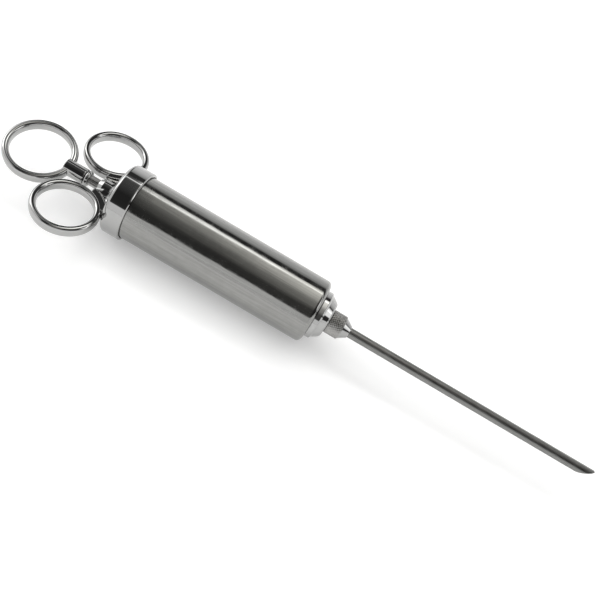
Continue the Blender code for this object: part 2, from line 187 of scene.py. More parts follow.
def lathe(outline, turns=TURNS, pitch=None, phase_station=0.0):
    """Spin (station, radius[, thread depth]) points about the injector's axis."""
    shape = bmesh.new()
    rows = []
    for station, radius, *depth in supported(outline):
        row = []
        for i in range(1 if radius == 0 else turns):
            angle = 2 * math.pi * i / turns
            reach = radius
            if depth:
                reach += depth[0] * math.cos(2 * math.pi * (station - phase_station) / pitch - angle)
            row.append(shape.verts.new(on_turn(station, reach, angle)))
        rows.append(row)
    skin_rows(shape, rows, closed=outline[0][1] > 0)
    return shape


def thread_rows(limits, pitch, mean, depth, end_radii, per_turn=16):
    """Points through a rounded thread that fades out at both of its ends."""
    start, end = limits
    count = round((end - start) / pitch * per_turn)
    points = []
    for i in range(count + 1):
        station = start + (end - start) * i / count
        strength = min(1.0, (station - start) / pitch * 2, (end - station) / pitch * 2)
        edge = end_radii[0] if station < (start + end) / 2 else end_radii[1]
        points.append((station, mean * strength + edge * (1 - strength), depth * strength))
    return points


def arc(centre, radii, start, end, steps):
    """Points of an elliptical arc in (station, radius), angles in degrees."""
    points = []
    for i in range(steps + 1):
        angle = math.radians(start + (end - start) * i / steps)
        points.append((centre[0] + radii[0] * math.cos(angle), centre[1] + radii[1] * math.sin(angle)))
    return points


# ---------------------------------------------------------------- materials

def new_material(name):
    """A material, its node tree, its Principled shader and its object coordinates."""
    material = bpy.data.materials.new(name)
    material.use_nodes = True
    tree = material.node_tree
    shader = tree.nodes["Principled BSDF"]
    place = tree.nodes.new("ShaderNodeTexCoord")
    return material, tree, shader, place.outputs["Object"]


def noise(tree, vector, scale, stretch=(1, 1, 1), detail=4.0, roughness=0.55):
    """Noise over the object's own coordinates, stretched along some axes."""
    mapping = tree.nodes.new("ShaderNodeMapping")
    mapping.inputs["Scale"].default_value = stretch
    tree.links.new(vector, mapping.inputs["Vector"])
    texture = tree.nodes.new("ShaderNodeTexNoise")
    texture.inputs["Scale"].default_value = scale
    texture.inputs["Detail"].default_value = detail
    texture.inputs["Roughness"].default_value = roughness
    tree.links.new(mapping.outputs["Vector"], texture.inputs["Vector"])
    return texture.outputs["Fac"]


def remap(tree, value, low, high, start=0.3, end=0.7):
    """Stretch a 0 to 1 value so that start..end becomes low..high."""
    node = tree.nodes.new("ShaderNodeMapRange")
    node.inputs["From Min"].default_value = start
    node.inputs["From Max"].default_value = end
    node.inputs["To Min"].default_value = low
    node.inputs["To Max"].default_value = high
    tree.links.new(value, node.inputs["Value"])
    return node.outputs["Result"]


def tint(tree, factor, low, high):
    """A colour that runs from low to high over the middle of factor's range."""
    ramp = tree.nodes.new("ShaderNodeValToRGB")
    for stop, position, colour in zip(ramp.color_ramp.elements, (0.3, 0.7), (low, high)):
        stop.position = position
        stop.color = (*colour, 1)
    tree.links.new(factor, ramp.inputs["Fac"])
    return ramp.outputs["Color"]


def math_node(tree, operation, *values):
    """The result of a maths node that is fed with numbers or with other nodes' values."""
    node = tree.nodes.new("ShaderNodeMath")
    node.operation = operation
    for socket, value in zip(node.inputs, values):
        if isinstance(value, float):
            socket.default_value = value
        else:
            tree.links.new(value, socket)
    return node.outputs["Value"]


def add_bump(tree, shader, height, distance):
    """Bump on top of any bump that the shader already has."""
    bump = tree.nodes.new("ShaderNodeBump")
    bump.inputs["Strength"].default_value = 1.0
    bump.inputs["Distance"].default_value = distance
    tree.links.new(height, bump.inputs["Height"])
    if shader.inputs["Normal"].is_linked:
        tree.links.new(shader.inputs["Normal"].links[0].from_socket, bump.inputs["Normal"])
    tree.links.new(bump.outputs["Normal"], shader.inputs["Normal"])


def metal(name, low, high, roughness, smudge_scale, grain=None, streaks=None):
    """Polished or brushed metal: tone and gloss vary with smudges.

    grain is (stretch, depth in metres) of a fine relief, and streaks is the stretch of lines of tone.
    """
    material, tree, shader, place = new_material(name)
    shader.inputs["Metallic"].default_value = 1.0
    smudge = noise(tree, place, smudge_scale, detail=5.0, roughness=0.6)
    tone = smudge
    if streaks:
        # Lines with raised contrast, which the smudges make lighter or darker
        lines = noise(tree, place, 1.0, streaks, detail=4.0, roughness=0.75)
        tone = math_node(tree, "MULTIPLY_ADD", lines, 1.6, remap(tree, smudge, -0.4, -0.2))
    tree.links.new(tint(tree, tone, low, high), shader.inputs["Base Color"])
    gloss = remap(tree, smudge, *roughness)
    if grain:
        stretch, depth = grain
        lines = noise(tree, place, 1.0, stretch, detail=3.0, roughness=0.7)
        gloss = math_node(tree, "MULTIPLY", gloss, remap(tree, lines, 0.75, 1.25))
        add_bump(tree, shader, lines, depth)
    tree.links.new(gloss, shader.inputs["Roughness"])
    return material


def add_waves(material, stretch, depth, detail=1.0):
    """Slight waviness of a drawn tube, which bends its reflections."""
    tree = material.node_tree
    place = next(node for node in tree.nodes if node.type == "TEX_COORD")
    height = noise(tree, place.outputs["Object"], 1.0, stretch, detail=detail, roughness=0.5)
    add_bump(tree, tree.nodes["Principled BSDF"], height, depth)


def rubber(name, low, high, roughness, depth):
    """Moulded rubber with a slightly uneven colour and a fine matte skin."""
    material, tree, shader, place = new_material(name)
    mottle = noise(tree, place, 220.0, detail=4.0)
    tree.links.new(tint(tree, mottle, low, high), shader.inputs["Base Color"])
    tree.links.new(remap(tree, mottle, *roughness), shader.inputs["Roughness"])
    add_bump(tree, shader, noise(tree, place, 2600.0, detail=2.0), depth)
    return material


CHROME = metal("chrome", (0.405, 0.405, 0.40), (0.425, 0.425, 0.42), (0.015, 0.04), 90.0)
STEM_CHROME = metal("drawn_chrome", (0.33, 0.33, 0.325), (0.46, 0.46, 0.455), (0.03, 0.06), 90.0,
                    streaks=(20.0, 1300.0, 1300.0))
SATIN = metal("satin_steel", (0.26, 0.26, 0.252), (0.314, 0.314, 0.304), (0.05, 0.19), 230.0,
              ((2600.0, 120.0, 120.0), 0.0016 * MM), streaks=(26.0, 950.0, 950.0))
add_waves(SATIN, (80.0, 160.0, 160.0), 0.03 * MM)
add_waves(SATIN, (28.0, 520.0, 520.0), 0.04 * MM, 3.0)
ROD_STEEL = metal("rod_steel", (0.34, 0.335, 0.33), (0.42, 0.415, 0.41), (0.22, 0.34), 150.0,
                  ((90.0, 2200.0, 2200.0), 0.004 * MM))
KNURL_STEEL = metal("knurled_steel", (0.30, 0.295, 0.285), (0.40, 0.395, 0.385), (0.22, 0.34), 260.0,
                    ((1500.0, 1500.0, 1500.0), 0.002 * MM))
NEEDLE_STEEL = metal("needle_steel", (0.21, 0.21, 0.202), (0.26, 0.26, 0.252), (0.31, 0.43), 200.0,
                     ((60.0, 2400.0, 2400.0), 0.004 * MM))
CONE_STEEL = metal("turned_steel", (0.36, 0.36, 0.355), (0.42, 0.42, 0.415), (0.07, 0.13), 260.0,
                   ((3200.0, 300.0, 300.0), 0.002 * MM))
ALUMINIUM = metal("turned_aluminium", (0.50, 0.50, 0.50), (0.58, 0.58, 0.59), (0.25, 0.4), 150.0,
                  ((2400.0, 200.0, 200.0), 0.004 * MM))
BRASS = metal("brass", (0.50, 0.36, 0.14), (0.62, 0.46, 0.20), (0.2, 0.35), 150.0,
              ((2400.0, 300.0, 300.0), 0.003 * MM))
SILICONE = rubber("silicone", (0.42, 0.045, 0.03), (0.52, 0.07, 0.045), (0.45, 0.6), 0.006 * MM)
BLACK_RUBBER = rubber("black_rubber", (0.012, 0.012, 0.012), (0.025, 0.025, 0.025), (0.5, 0.65), 0.006 * MM)


# ---------------------------------------------------------------- barrel

def make_barrel():
    """The satin tube: threaded at the open end and spun round at the front."""
    rear, front = ends("barrel_tube")
    radius = radius_of("barrel_tube")
    bore = radius - BARREL_WALL
    corner = (2.7 * MM, 4.0 * MM)
    root = THREAD_MEAN - THREAD_DEPTH
    limits = (rear + THREAD_SPAN[0], rear + THREAD_SPAN[1])
    outline = [(rear + 0.3 * MM, bore), (rear, bore + 0.3 * MM)]
    outline += [(rear, root - 0.2 * MM), (rear + 0.2 * MM, root)]
    outline += thread_rows(limits, pitch_of("cap_lift"), THREAD_MEAN, THREAD_DEPTH, (root, radius))
    outline += [(limits[1] + 0.4 * MM, radius)]
    outline += arc((front - corner[0], radius - corner[1]), corner, 90, 0, 16)
    outline += [(front, BARREL_HOLE), (front - BARREL_WALL, BARREL_HOLE)]
    inner = (corner[0] - BARREL_WALL, corner[1] - BARREL_WALL)
    outline += arc((front - corner[0], bore - inner[1]), inner, 0, 90, 8)
    shape = lathe(outline, pitch=pitch_of("cap_lift"), phase_station=rear)
    add_piece("barrel_shell", shape, "barrel", ["barrel_tube"], SATIN)


def make_nozzle():
    """The chromed nozzle: disc, chamfer, cone, pocket and threaded spigot."""
    rear, tip = ends("nozzle")
    barrel_front = ends("barrel_tube")[1]
    hub_rear = ends("needle_hub")[0]
    radius = radius_of("nozzle")
    top = hub_rear - 0.2 * MM
    root = SPIGOT_MEAN - SPIGOT_DEPTH
    shank = 8.0 * MM
    pocket = (6.8 * MM, 0.5 * MM)
    outline = [(rear, FLUID_BORE), (rear, shank - 0.4 * MM), (rear + 0.4 * MM, shank), (barrel_front, shank)]
    outline += [(barrel_front + 0.02 * MM, radius, 0.15 * MM), (top - 4.6 * MM, radius, 0.3 * MM)]
    outline += [(top - 3.7 * MM, 12.1 * MM, 0.5 * MM), (top - 0.75 * MM, 10.15 * MM, 0.8 * MM)]
    outline += [(top, 9.4 * MM, 0.25 * MM), (top, pocket[0], 0.12 * MM)]
    outline += [(top - pocket[1], pocket[0], 0.1 * MM), (top - pocket[1], root)]
    outline = rounded(outline)
    limits = (top - pocket[1], tip - 0.3 * MM)
    outline += thread_rows(limits, pitch_of("needle_lift"), SPIGOT_MEAN, SPIGOT_DEPTH, (root, root))[1:]
    outline += [(tip, root - 0.3 * MM), (tip, FLUID_BORE + 0.2 * MM), (tip - 0.2 * MM, FLUID_BORE)]
    seam = ends("barrel_tube")[0]
    shape = lathe(outline, pitch=pitch_of("needle_lift"), phase_station=seam)
    add_piece("nozzle_body", shape, "barrel", ["nozzle"], CHROME)


# ---------------------------------------------------------------- cap

def make_cap():
    """The chromed screw cap, with its rounded shoulder and inner thread."""
    back, front = ends("cap")
    rear = ends("barrel_tube")[0]
    radius = radius_of("cap")
    inside = back + 2.5 * MM
    hole = 5.5 * MM
    relief = THREAD_MEAN + THREAD_DEPTH + THREAD_CLEARANCE + 0.05 * MM
    mean = THREAD_MEAN + THREAD_CLEARANCE
    rim = [(front, relief), (front, radius - 0.5 * MM, 0.15 * MM), (front - 0.45 * MM, radius, 0.4 * MM)]
    rim += [(back + 6.0 * MM, radius)]
    outline = rounded(rim)
    shoulder = (2.5 * MM, 3.5 * MM)
    outline += arc((back + shoulder[0], radius - shoulder[1]), shoulder, 90, 180, 20)
    outline += [(back, hole), (inside, hole), (inside, relief)]
    limits = (rear + THREAD_SPAN[0], rear + THREAD_SPAN[1])
    outline += thread_rows(limits, pitch_of("cap_lift"), mean, THREAD_DEPTH, (relief, relief))
    shape = lathe(outline, pitch=pitch_of("cap_lift"), phase_station=rear)
    add_piece("cap_shell", shape, "cap", ["cap"], CHROME)


def make_rod_guide():
    """The boss behind the cap that guides the rod: a blunt nose that flares into the cap."""
    rear, front = ends("rod_guide")
    back = ends("cap")[0]
    nose = (rear + 2.6 * MM, 4.7 * MM)
    flare = (5.6 * MM, 3.6 * MM)
    outline = rounded([(rear + 0.3 * MM, ROD_BORE), (rear, 3.35 * MM, 0.2 * MM), (*nose, 0.5 * MM),
                       (back - flare[0], nose[1])])
    outline += arc((back - flare[0] + 0.2 * MM, nose[1] + flare[1]), flare, 270, 360, 16)
    shank = 5.2 * MM
    groove = 4.6 * MM
    station = sum(ends("rod_wiper")) / 2
    half = 0.9 * MM
    outline += [(back + 0.2 * MM, shank), (front, shank), (front, ROD_BORE), (station + half, ROD_BORE)]
    outline += [(station + half, groove), (station - half, groove), (station - half, ROD_BORE)]
    add_piece("guide_boss", lathe(outline, SMALL_TURNS), "cap", ["rod_guide"], CHROME)


def ring_rows(shape, centre, inside, outside, width, squareness, around_steps=180, section_steps=44):
    """A band ring whose section is a rectangle with generously rounded corners."""
    half_wall = (outside - inside) / 2
    power = 2 / squareness
    rows = []
    for i in range(around_steps):
        around = 2 * math.pi * i / around_steps
        row = []
        for j in range(section_steps):
            angle = 2 * math.pi * j / section_steps
            across = math.copysign(abs(math.cos(angle)) ** power, math.cos(angle))
            height = math.copysign(abs(math.sin(angle)) ** power, math.sin(angle))
            reach = inside + half_wall * (1 + across)
            place = (centre[0] + reach * math.cos(around), centre[1] + reach * math.sin(around))
            row.append(shape.verts.new((*place, AXIS_HEIGHT + height * width / 2)))
        rows.append(row)
    skin_rows(shape, rows, closed=True)


def hollow(distance, width):
    """A smooth concave rise: 1 at a wall, easing to 0 at a width from it."""
    return (1 - min(max(distance / width, 0.0), 1.0)) ** 2


def web_height(x, y, centre, rear, back):
    """Half the thickness of a web, which rises where it meets the ring, the boss and the cap.

    The cap's fillet grows with the distance from the ring (inward), the boss's
    with the distance from the web's rear edge (forward), and the shelf ends at
    the web's outer end (lug).
    """
    from_ring = math.hypot(x - centre[0], y - centre[1]) - RING_OUTSIDE
    inward = min(1.0, max(0.0, (from_ring - SHELF_WIDTH) / (1.6 * MM)))
    forward = min(1.0, (x - rear) / (4.5 * MM))
    lug = min(1.0, max(0.0, (LUG[0] + 0.1 * MM - y) / LUG[1]))
    height = WEB_HALF
    height += (SHELF_HALF - WEB_HALF) * hollow(from_ring - SHELF_WIDTH, SHELF_EDGE) * lug ** 0.5
    height += BOSS_FILLET[1] * hollow(y - BOSS_SIDE, BOSS_FILLET[0]) * forward
    height += CAP_FILLET[1] * hollow(back - x, CAP_FILLET[0]) * inward
    edge_radius = 0.7 * MM
    softness = min(1.0, (x - rear) / (0.8 * MM))
    return height - edge_radius * (1 - math.sqrt(1 - (1 - softness) ** 2))


def make_web(name, side, centre):
    """The web between a finger ring, the boss and the cap.

    Rows run from the ring's arc to a path down the boss and along the cap.
    """
    rear = ends("rod_guide")[0] + 0.05 * MM
    back = ends("cap")[0]
    steps = 60
    across = 36
    # The web starts inside the ring's band, and ends inside the boss and the cap
    reach = RING_OUTSIDE - 1.6 * MM
    boss_y = ROD_BORE + 0.1 * MM
    first = math.degrees(math.asin((rear - centre[0]) / reach)) - 90
    last = -24
    near_arc = arc(centre, (reach, reach), first, last, steps)
    legs = (abs(back - rear), LUG[0] - boss_y)
    far_path = []
    for i in range(steps + 1):
        run = sum(legs) * i / steps
        down = min(run, legs[0]) / legs[0]
        out = max(run - legs[0], 0.0) / legs[1]
        x = rear + legs[0] * down + INTO_CAP[0] + INTO_CAP[1] * out ** 3
        far_path.append((x, boss_y + out * legs[1]))
    shape = bmesh.new()
    rims = []
    for sign in (-1, 1):
        rows = []
        for near, far in zip(near_arc, far_path):
            row = []
            for k in range(across + 1):
                share = k / across
                x = max(near[0] + (far[0] - near[0]) * share, rear)
                y = near[1] + (far[1] - near[1]) * share
                height = web_height(x, y, centre, rear, back)
                row.append(shape.verts.new((x, side * y, AXIS_HEIGHT + sign * height)))
            rows.append(row)
        for first_row, second_row in zip(rows, rows[1:]):
            for k in range(across):
                shape.faces.new([first_row[k], first_row[k + 1], second_row[k + 1], second_row[k]])
        rim = [row[0] for row in rows] + rows[-1][1:]
        rims.append(rim + [row[-1] for row in reversed(rows[:-1])] + rows[0][-2:0:-1])
    for i in range(len(rims[0])):
        j = (i + 1) % len(rims[0])
        shape.faces.new([rims[0][i], rims[0][j], rims[1][j], rims[1][i]])
    add_piece(name, shape, "cap", [], CHROME)


def make_finger_rings():
    """The two finger rings with their webs."""
    for name, side in (("left", 1), ("right", -1)):
        node = "finger_ring_" + name
        low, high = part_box(node)
        reach = high[1] if side > 0 else -low[1]
        centre = (low[0] + RING_OUTSIDE, reach - RING_OUTSIDE)
        shape = bmesh.new()
        place = (centre[0], side * centre[1])
        ring_rows(shape, place, RING_OUTSIDE - RING_WALL, RING_OUTSIDE, high[2] - low[2], RING_SQUARENESS)
        add_piece("ring_band_" + name, shape, "cap", [node], CHROME)
        make_web("ring_web_" + name, side, centre)


# ---------------------------------------------------------------- plunger

def turned_about_axis(shape, angle):
    """Turn a bmesh about the injector's axis."""
    centre = Matrix.Translation((0, 0, AXIS_HEIGHT))
    shape.transform(centre @ Matrix.Rotation(angle, 4, "X") @ centre.inverted())
    return shape


def make_thumb_ring():
    """The thumb ring, turned a little from the finger rings' plane."""
    low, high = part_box("thumb_ring")
    outside = (high[0] - low[0]) / 2
    wall = 3.75 * MM
    width = 5.7 * MM
    centre = (low[0] + outside, 0.0)
    shape = bmesh.new()
    ring_rows(shape, centre, outside - wall, outside, width, RING_SQUARENESS, 200)
    turned_about_axis(shape, THUMB_TURN)
    add_piece("thumb_band", shape, "plunger", ["thumb_ring"], CHROME)


def make_stem():
    """The stem from the thumb ring to the collar."""
    rear, front = ends("handle_stem")
    socket = front - 9.0 * MM
    outline = [(rear, 0.0), (rear, STEM_RADIUS, 0.35 * MM), (front, STEM_RADIUS, 0.45 * MM)]
    outline = rounded(outline + [(front, ROD_BORE)]) + [(socket, ROD_BORE), (socket, 0.0)]
    add_piece("stem_sleeve", lathe(outline, SMALL_TURNS), "plunger", ["handle_stem"], STEM_CHROME)


def make_collar():
    """The collar with a rounded lip at the front of the stem."""
    rear, front = ends("stem_collar")
    rear -= 0.25 * MM
    middle = (rear + front) / 2
    half = (front - rear) / 2
    lip = 1.25 * MM
    bore = ROD_BORE - 0.2 * MM
    outline = [(rear, bore)] + arc((middle, STEM_RADIUS - lip), (half, lip), 180, 0, 24) + [(front, bore)]
    add_piece("collar_lip", lathe(outline, SMALL_TURNS), "plunger", ["stem_collar"], CHROME)


def make_rod():
    """The plunger rod, with its flange behind the piston and its pin through it."""
    rear, front = ends("plunger_rod")
    piston_rear = ends("piston")[0]
    flange = (piston_rear - 2.7 * MM, piston_rear - 0.3 * MM)
    radius = 2.8 * MM
    wide = 5.5 * MM
    pin = 2.5 * MM
    outline = [(rear, 0.0), (rear, radius), (flange[0] - 0.6 * MM, radius), (flange[0], radius + 0.6 * MM)]
    outline += [(flange[0], wide - 0.2 * MM), (flange[0] + 0.2 * MM, wide), (flange[1], wide)]
    outline += [(flange[1], pin), (front - 0.5 * MM, pin), (front, pin - 0.5 * MM), (front, 0.0)]
    add_piece("rod_bar", lathe(outline, SMALL_TURNS), "plunger", ["plunger_rod"], ROD_STEEL)


def make_piston():
    """The piston, grooved for its two seals and recessed for its nut."""
    rear, front = ends("piston")
    radius = 15.4 * MM
    groove = 12.4 * MM
    hole = 2.8 * MM
    recess = 7.0 * MM
    chamfer = 0.5 * MM
    half = 1.75 * MM
    outline = [(rear, hole), (rear, radius - chamfer), (rear + chamfer, radius)]
    for node in ("piston_seal_rear", "piston_seal_front"):
        station = sum(ends(node)) / 2
        outline += [(station - half, radius), (station - half, groove), (station + half, groove)]
        outline += [(station + half, radius)]
    outline += [(front - chamfer, radius), (front, radius - chamfer), (front, recess)]
    outline += [(front - 4.6 * MM, recess), (front - 4.6 * MM, hole)]
    add_piece("piston_spool", lathe(outline), "plunger", ["piston"], ALUMINIUM)


# ---------------------------------------------------------------- small rings and nuts

def flat_ring(name, node, body, material, inner, outer, turns=SMALL_TURNS):
    """A washer or gasket with slightly rounded edges in a node's place."""
    rear, front = ends(node)
    soft = (front - rear) * 0.2
    outline = [(rear, inner + soft), (rear, outer - soft), (rear + soft, outer), (front - soft, outer)]
    outline += [(front, outer - soft), (front, inner + soft), (front - soft, inner), (rear + soft, inner)]
    add_piece(name, lathe(outline, turns), body, [node], material)


def round_ring(name, node, body, material, outer, turns=TURNS):
    """A rubber ring of round section in a node's place."""
    rear, front = ends(node)
    section = (front - rear) / 2
    outline = arc(((rear + front) / 2, outer - section), (section, section), 0, 345, 23)
    add_piece(name, lathe(outline, turns), body, [node], material)


def hexagon_nut(name, node, body, material, across_flats, hole):
    """A chamfered hexagon nut in a node's place."""
    rear, front = ends(node)
    chamfer = across_flats * 0.035
    face = across_flats / 2 * 0.97
    shape = bmesh.new()
    rows = []
    # A ring with no radius of its own follows the flats
    rings = [(rear, hole), (rear, face), (rear + chamfer, None)]
    rings += [(front - chamfer, None), (front, face), (front, hole)]
    for station, radius in rings:
        row = []
        for i in range(SMALL_TURNS):
            angle = 2 * math.pi * i / SMALL_TURNS
            from_flat = (angle + math.pi / 6) % (math.pi / 3) - math.pi / 6
            reach = radius or across_flats / 2 / math.cos(from_flat)
            row.append(shape.verts.new(on_turn(station, reach, angle)))
        rows.append(row)
    skin_rows(shape, rows, closed=True)
    add_piece(name, shape, body, [node], material)


def make_small_parts():
    """Gaskets, washers, seals and nuts."""
    bore = radius_of("barrel_tube") - BARREL_WALL
    flat_ring("cap_seal", "cap_gasket", "cap_gasket", SILICONE, bore, 17.5 * MM, TURNS)
    flat_ring("nozzle_seal", "nozzle_gasket", "barrel", SILICONE, BARREL_HOLE, 12.0 * MM)
    flat_ring("tip_seal", "needle_washer", "needle_washer", BLACK_RUBBER,
              FLUID_BORE, 4.0 * MM)
    flat_ring("nut_washer", "piston_washer", "plunger", ROD_STEEL, 2.8 * MM, 6.0 * MM)
    round_ring("wiper_ring", "rod_wiper", "rod_wiper", BLACK_RUBBER, 4.3 * MM, SMALL_TURNS)
    for place in ("rear", "front"):
        round_ring("seal_" + place, "piston_seal_" + place, "plunger", SILICONE, 15.7 * MM)
    hexagon_nut("inner_nut", "nozzle_nut", "barrel", BRASS, 24.0 * MM, BARREL_HOLE)
    hexagon_nut("rod_nut", "piston_nut", "plunger", ROD_STEEL, 9.0 * MM, 2.8 * MM)


# ---------------------------------------------------------------- needle

def ridge(value):
    """A triangle wave of a phase in turns: 1 on a whole number, 0 halfway."""
    return abs((value % 1.0) * 2 - 1)


def make_hub():
    """The needle hub: a diamond knurl with an inner thread, and a polished cone."""
    rear, front = ends("needle_hub")
    radius = radius_of("needle_hub", CAD_SMALL_SIDES)
    tip = ends("nozzle")[1]
    knurl_end = rear + 7.9 * MM
    diamonds = 34                      # round the hub, each a little longer than wide
    pitch = 2 * math.pi * radius / diamonds * 1.15
    depth = 0.18 * MM
    run_out = 0.6 * MM
    turns = diamonds * 8
    rows_along = 72
    mean = SPIGOT_MEAN + SPIGOT_CLEARANCE
    relief = mean + SPIGOT_DEPTH + 0.05 * MM
    thread_pitch = pitch_of("needle_lift")
    seam = ends("barrel_tube")[0]
    shape = bmesh.new()
    rows = []

    def add_row(station, reach_at):
        row = []
        for i in range(turns):
            angle = 2 * math.pi * i / turns
            reach = reach_at(station, angle)
            row.append(shape.verts.new(on_turn(station, reach, angle)))
        rows.append(row)

    def knurled(station, angle):
        turn = angle / (2 * math.pi) * diamonds
        along = (station - rear) / pitch
        cut = max(1 - ridge(turn + along) * 1.25, 1 - ridge(turn - along) * 1.25, 0.0)
        fade = min(1.0, (station - rear) / run_out, (knurl_end - station) / run_out)
        base = radius - 0.45 * MM * (1 - fade) ** 2
        return base - depth * cut * fade

    add_row(rear, lambda s, a: relief)
    add_row(rear, lambda s, a: radius - 0.6 * MM)
    for k in range(rows_along + 1):
        add_row(rear + 0.05 * MM + (knurl_end - rear - 0.1 * MM) * k / rows_along, knurled)
    floor = tip + 1.4 * MM
    add_row(knurl_end, lambda s, a: 6.0 * MM)
    add_row(floor, lambda s, a: relief)
    limits = (rear + 0.8 * MM, tip - 0.5 * MM)
    thread = thread_rows(limits, thread_pitch, mean, SPIGOT_DEPTH, (relief, relief), 12)
    for station, reach, swing in reversed(thread):
        phase = 2 * math.pi * (station - seam) / thread_pitch
        add_row(station, lambda s, a, r=reach, w=swing, p=phase: r + w * math.cos(p - a))
    skin_rows(shape, rows, closed=True)
    add_piece("hub_knurl", shape, "needle", ["needle_hub"], KNURL_STEEL)
    cone = rounded([(knurl_end - 0.2 * MM, 5.6 * MM), (knurl_end + 0.02 * MM, 5.95 * MM, 0.12 * MM),
                    (front, 3.2 * MM, 0.3 * MM), (front, NEEDLE_RADIUS), (floor, NEEDLE_RADIUS)])
    add_piece("hub_cone", lathe(cone, SMALL_TURNS), "needle", [], CONE_STEEL)


def make_tube():
    """The needle tube with its slanted, slightly blunted point."""
    rear, tip = ends("needle_tube")
    outer = NEEDLE_RADIUS
    bore = 2.0 * MM
    slant_length = 9.5 * MM
    blunt = (0.35 * MM, 0.12)
    edge = 0.12 * MM
    shape = bmesh.new()
    rows = []

    def slant(height):
        """Station of the slant, or of its blunted point, at a height from the axis."""
        below_top = outer - height
        return min(tip - slant_length * below_top / (2 * outer), tip - blunt[0] + blunt[1] * below_top)

    # Radii, and how far each row lies from the slant, or None for the rear end
    profile = [(bore, None), (outer, None), (outer, -edge), (outer - edge * 0.4, -edge * 0.3)]
    profile += [(outer - edge, 0.0), (bore + edge * 0.5, 0.0), (bore, -edge * 0.5)]
    for radius, shift in profile:
        row = []
        for i in range(SMALL_TURNS):
            angle = 2 * math.pi * i / SMALL_TURNS
            station = rear if shift is None else slant(radius * math.sin(angle)) + shift
            row.append(shape.verts.new(on_turn(station, radius, angle)))
        rows.append(row)
    skin_rows(shape, rows, closed=True)
    turned_about_axis(shape, BEVEL_TURN)
    add_piece("needle_pipe", shape, "needle", ["needle_tube"], NEEDLE_STEEL)


# ---------------------------------------------------------------- studio

def make_camera():
    """The camera, close above the near side and rolled about its own axis."""
    target = Vector((-2.55 * MM, 2.1 * MM, AXIS_HEIGHT))
    distance = 0.3938
    azimuth = math.radians(-1.63)
    elevation = math.radians(47.21)
    roll = math.radians(31.69)
    back = Vector((math.sin(azimuth) * math.cos(elevation), -math.cos(azimuth) * math.cos(elevation),
                   math.sin(elevation)))
    data = bpy.data.cameras.new("camera")
    data.sensor_width = 36.0
    data.lens = 45.91
    data.clip_start = 0.01
    camera = bpy.data.objects.new("camera", data)
    camera.matrix_world = (Matrix.Translation(target + back * distance)
                           @ back.to_track_quat("Z", "Y").to_matrix().to_4x4()
                           @ Matrix.Rotation(roll, 4, "Z"))
    bpy.context.scene.collection.objects.link(camera)
    bpy.context.scene.camera = camera


def make_floor():
    """A plain pale floor."""
    shape = bmesh.new()
    bmesh.ops.create_grid(shape, x_segments=1, y_segments=1, size=3.0)
    mesh = bpy.data.meshes.new("floor")
    shape.to_mesh(mesh)
    shape.free()
    material, tree, shader, place = new_material("pale_floor")
    shader.inputs["Roughness"].default_value = 0.9
    shader.inputs["Specular IOR Level"].default_value = 0.1
    shader.inputs["Emission Color"].default_value = (1.0, 1.0, 1.0, 1)
    shader.inputs["Emission Strength"].default_value = 0.28
    grain = noise(tree, place, 40.0)
    tree.links.new(tint(tree, grain, (0.83, 0.83, 0.83), (0.85, 0.85, 0.85)), shader.inputs["Base Color"])
    mesh.materials.append(material)
    floor = bpy.data.objects.new("floor", mesh)
    floor.location.z = -FLOOR_DROP
    bpy.context.scene.collection.objects.link(floor)


def make_overhead_light():
    """A wide soft light overhead, which the polished metal doesn't mirror."""
    data = bpy.data.lights.new("overhead", "AREA")
    data.shape = "SQUARE"
    data.size = 2.4
    data.energy = 19.0
    light = bpy.data.objects.new("overhead", data)
    light.location.z = 1.6
    light.visible_glossy = False
    light.visible_camera = False
    bpy.context.scene.collection.objects.link(light)


# Brightness round the injector's long axis, by the angle in degrees from the
# far horizon over the top to the near one: the studio first, then a warm panel
# beside the barrel, and a strip light along the panel's far edge
SKY_BANDS = (
    (0, 1.08), (15, 0.98), (26, 0.76), (34, 0.51), (37, 0.36), (39.5, 0.05), (54, 0.055), (58, 0.16),
    (62.8, 0.2), (63.3, 1.5), (65.8, 1.5), (66.3, 0.2), (70, 0.16), (73, 0.11), (82, 0.10), (104, 0.06),
    (118, 0.03), (150, 0.035), (157.5, 0.06), (159, 1.04), (180, 1.05),
)
PANEL_BANDS = (
    (0, 0.0), (54, 0.0), (58, 1.4), (66, 1.3), (78, 1.1), (92, 0.78), (99, 0.52), (105, 0.36), (112, 0.32),
    (119, 0.29), (126, 0.16), (133, 0.06), (150, 0.05), (156, 0.03), (160, 0.0), (180, 0.0),
)
STRIP_BANDS = ((0, 0.0), (53, 0.0), (56.5, 1.0), (64, 1.0), (69, 0.0), (180, 0.0))

# Strength of the same along the axis, by the direction's share along it: -1
# faces the thumb ring, 1 the needle. The card takes light from the far horizon
FAR_CARD = ((-1.0, 0.0), (-0.62, 0.0), (-0.54, 0.92), (-0.325, 0.92), (-0.31, 0.0), (1.0, 0.0))
PANEL_SPAN = (
    (-1.0, 0.5), (-0.2, 0.5), (-0.1, 0.6), (-0.02, 0.95), (0.03, 1.2), (0.1, 1.3),
    (0.16, 0.5), (0.3, 0.1), (1.0, 0.1),
)
STRIP_SPAN = (
    (-1.0, 0.1), (-0.32, 0.1), (-0.27, 0.0), (-0.235, 0.0), (-0.22, 1.3), (-0.11, 1.6), (-0.05, 1.2),
    (0.0, 0.45), (1.0, 0.45),
)
PANEL_EDGE = (-0.2270, -0.2230)    # none and all of the warm panel

# A pale backdrop behind the plunger's end: all and none of it along the axis, and its level
BACKDROP = (-0.66, -0.47, 0.95)

